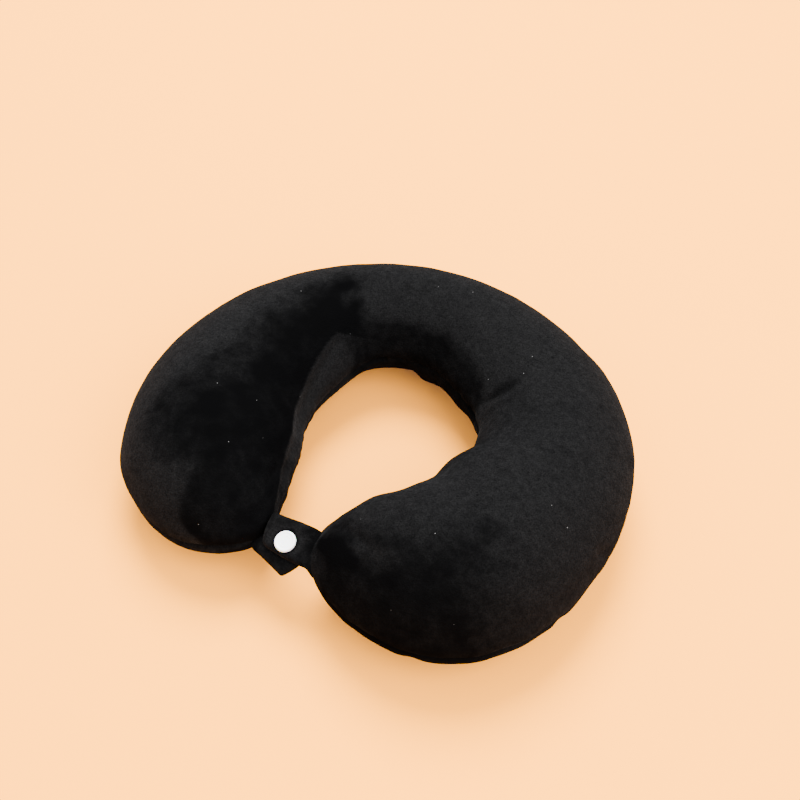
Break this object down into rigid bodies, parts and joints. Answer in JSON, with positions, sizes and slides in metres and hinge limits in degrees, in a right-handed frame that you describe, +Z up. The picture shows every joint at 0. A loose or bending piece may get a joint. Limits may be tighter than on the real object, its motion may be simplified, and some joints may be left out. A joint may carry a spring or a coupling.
{
  "type": "u shaped neck pillow",
  "caption": "U shaped travel neck pillow in short pile plush, with a zipped cover, an inner liner, a moulded core and two tabs that snap together across the opening.",
  "frame": {"origin": "on the surface the pillow lies on, under the middle of its bounding box", "axes": "+Z up, +Y towards the nape of the neck, the opening and the snap at -Y, +X to the wearer's right arm of the U as seen from above with the opening towards the viewer"},
  "size_m": [0.2962, 0.2617, 0.0775],
  "materials": {
    "plush": "short pile velour",
    "lining": "plain woven",
    "foam": "open cell foam",
    "thread": "twisted thread",
    "liner_thread": "twisted thread",
    "zip_tape": "woven tape",
    "zip_coil": "nylon",
    "zip_metal": "enamelled zinc",
    "snap_white": "moulded resin"
  },
  "bodies": {
    "pillow": {"cover_top_panel": "plush", "cover_bottom_panel": "plush", "cover_seam_thread": "thread", "liner_top_panel": "lining", "liner_bottom_panel": "lining", "liner_seam_thread": "liner_thread", "foam_core": "foam", "zipper_tape_upper": "zip_tape", "zipper_tape_lower": "zip_tape", "zipper_coil_upper": "zip_coil", "zipper_coil_lower": "zip_coil", "zipper_top_stops": "zip_metal", "zipper_bottom_stop": "zip_metal", "zipper_stitching_upper": "thread", "zipper_stitching_lower": "thread", "upper_tab_root_stitches": "thread", "lower_tab_root_stitches": "thread"},
    "upper_tab": {"upper_tab_front_layer": "plush", "upper_tab_back_layer": "plush", "upper_tab_seam_thread": "thread", "snap_front_cap": "snap_white", "snap_socket": "snap_white"},
    "lower_tab": {"lower_tab_front_layer": "plush", "lower_tab_back_layer": "plush", "lower_tab_seam_thread": "thread", "snap_stud": "snap_white", "snap_back_cap": "snap_white"},
    "zipper_slider": {"zipper_slider_body": "zip_metal"},
    "zipper_pull": {"zipper_pull_tab": "zip_metal"}
  },
  "joints": [
    {"name": "upper_tab_fold", "type": "hinge", "parent": "pillow", "child": "upper_tab", "pos_m": [0.01535, -0.10109, 0.04018], "axis": [-0.1392, 0.934, 0.3289], "range_deg": [0, 90]},
    {"name": "lower_tab_fold", "type": "hinge", "parent": "pillow", "child": "lower_tab", "pos_m": [-0.01497, -0.09713, 0.03453], "axis": [-0.2588, -0.9111, -0.3208], "range_deg": [-70, 0]},
    {"name": "zipper_travel", "type": "hinge", "parent": "pillow", "child": "zipper_slider", "pos_m": [0, -0.0061, 0.033], "axis": [0, 0, 1], "range_deg": [0, 58]},
    {"name": "zipper_pull_swing", "type": "hinge", "parent": "zipper_slider", "child": "zipper_pull", "pos_m": [0.067, 0.11477, 0.033], "axis": [0, 0, -1], "range_deg": [0, 160]}
  ]
}
